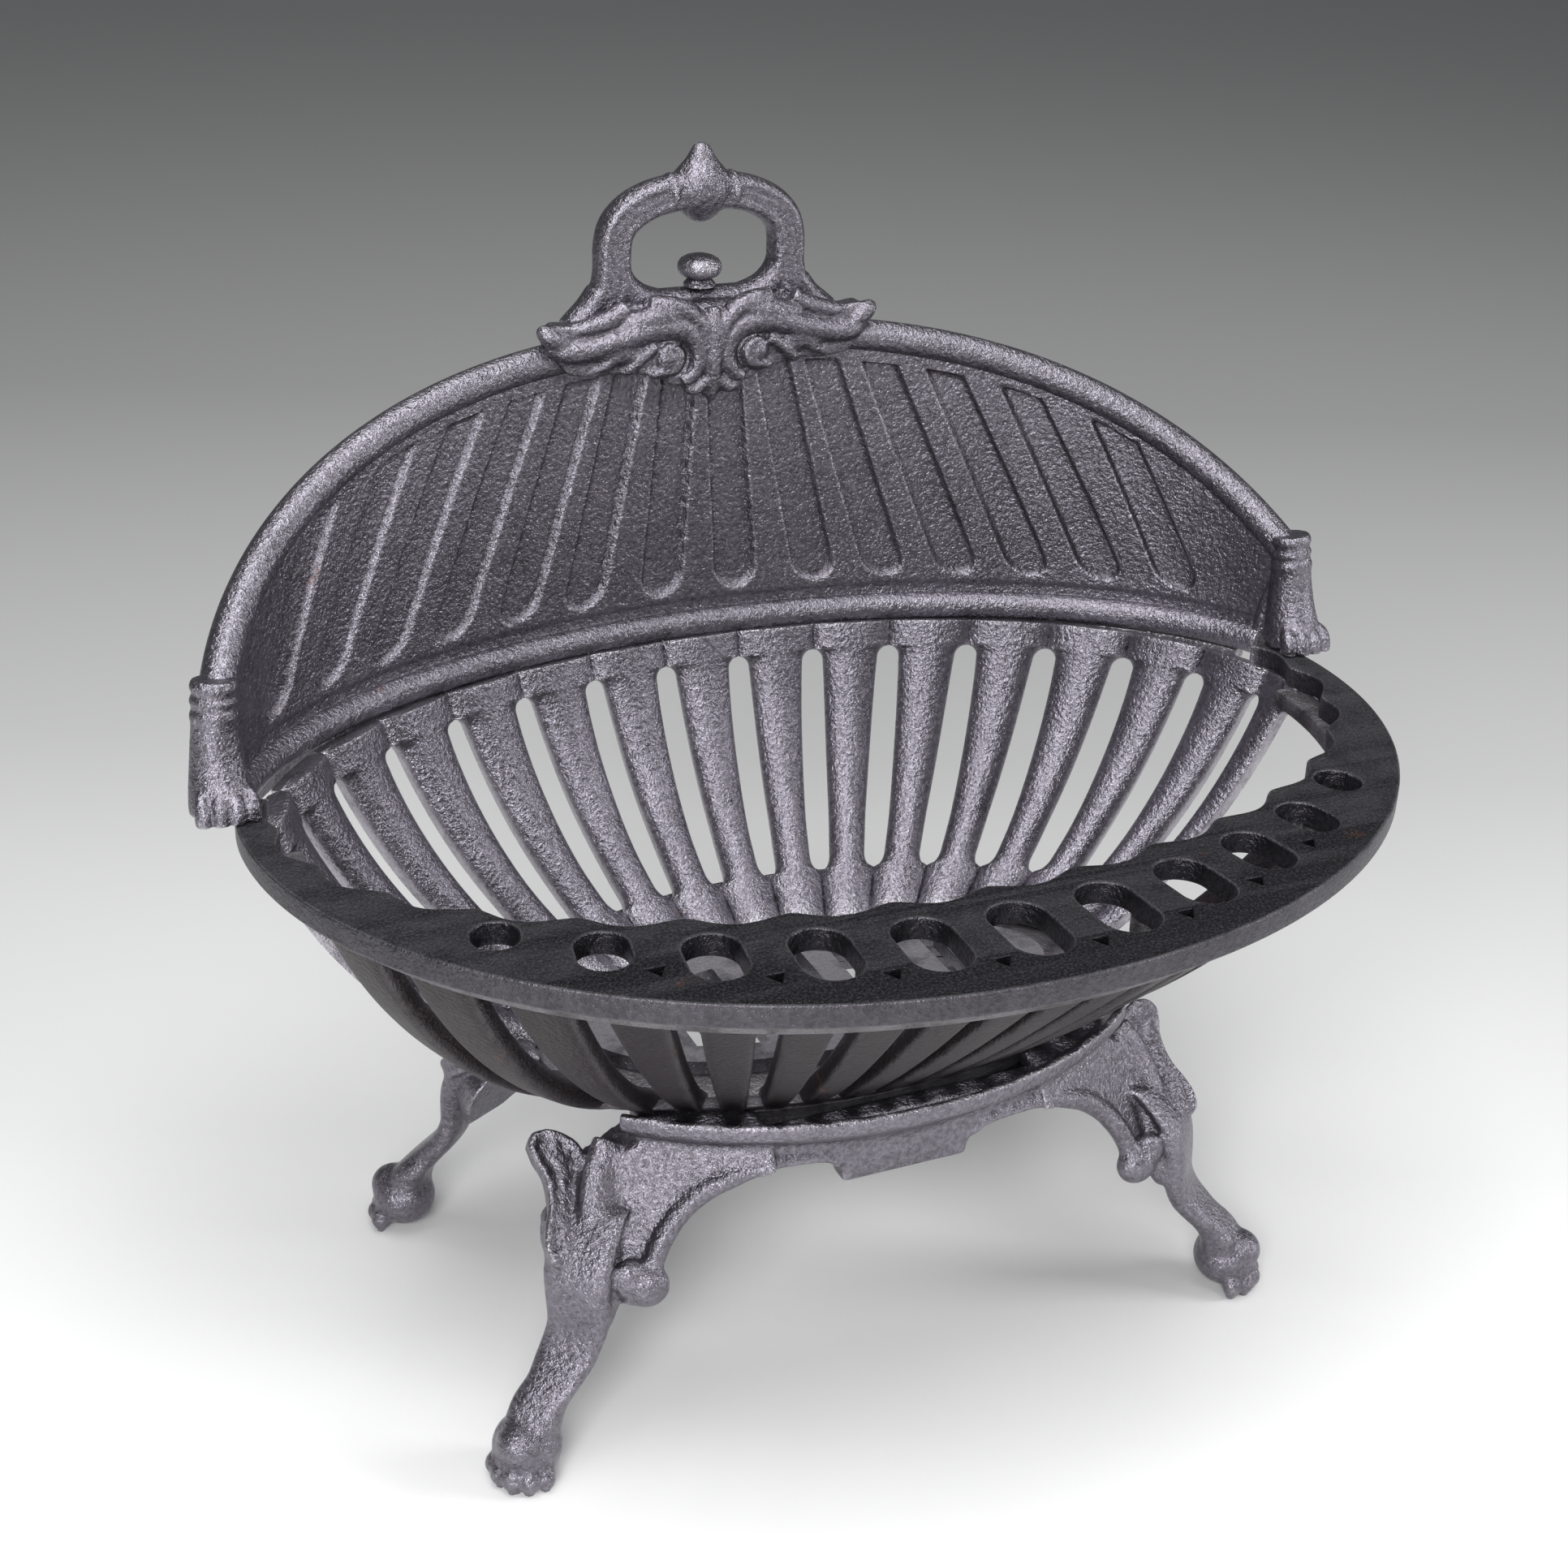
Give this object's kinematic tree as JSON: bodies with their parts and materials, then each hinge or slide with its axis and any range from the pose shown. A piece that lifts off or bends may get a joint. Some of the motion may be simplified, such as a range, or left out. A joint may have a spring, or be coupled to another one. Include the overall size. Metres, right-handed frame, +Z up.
{
  "type": "fireplace fire basket",
  "caption": "Oval cast-iron fire basket: a slotted bowl in a ring on scrolled legs with paw feet, a pierced front ledge, and a fluted lift-off hood with a leafy crest and a loop handle.",
  "frame": {"origin": "on the floor, under the middle of the whole object's width and depth", "axes": "+X to the right along the oval's length, +Y to the back where the hood stands, +Z up"},
  "size_m": [0.479, 0.335, 0.437],
  "materials": {
    "iron": "graphite-polished sand casting with worn bright edges",
    "brown_iron": "graphite-polished sand casting, browned by heat",
    "ledge_iron": "matte black, coarse sand-cast grain",
    "fixing_steel": "dull"
  },
  "bodies": {
    "stand": {"seat_ring": "brown_iron", "front_leg_frame": "iron", "rear_leg_frame": "iron", "frame_bolts": "fixing_steel", "frame_nuts": "fixing_steel"},
    "bowl": {"fire_bowl": "brown_iron", "rim_ledge": "ledge_iron", "ledge_screws": "fixing_steel", "hood_dowels": "fixing_steel"},
    "grate": {"bottom_grate": "ledge_iron"},
    "hood": {"fluted_hood": "iron", "crest_handle": "iron", "crest_knob": "iron", "crest_bolts": "fixing_steel"}
  },
  "joints": [
    {"name": "bowl_lift", "type": "slide", "parent": "stand", "child": "bowl", "axis": [0, 0, 1], "range_m": [0, 0.06]},
    {"name": "grate_lift", "type": "slide", "parent": "bowl", "child": "grate", "axis": [0, 0, 1], "range_m": [0, 0.16]},
    {"name": "hood_lift", "type": "slide", "parent": "bowl", "child": "hood", "axis": [0, 0, 1], "range_m": [0, 0.05]}
  ]
}
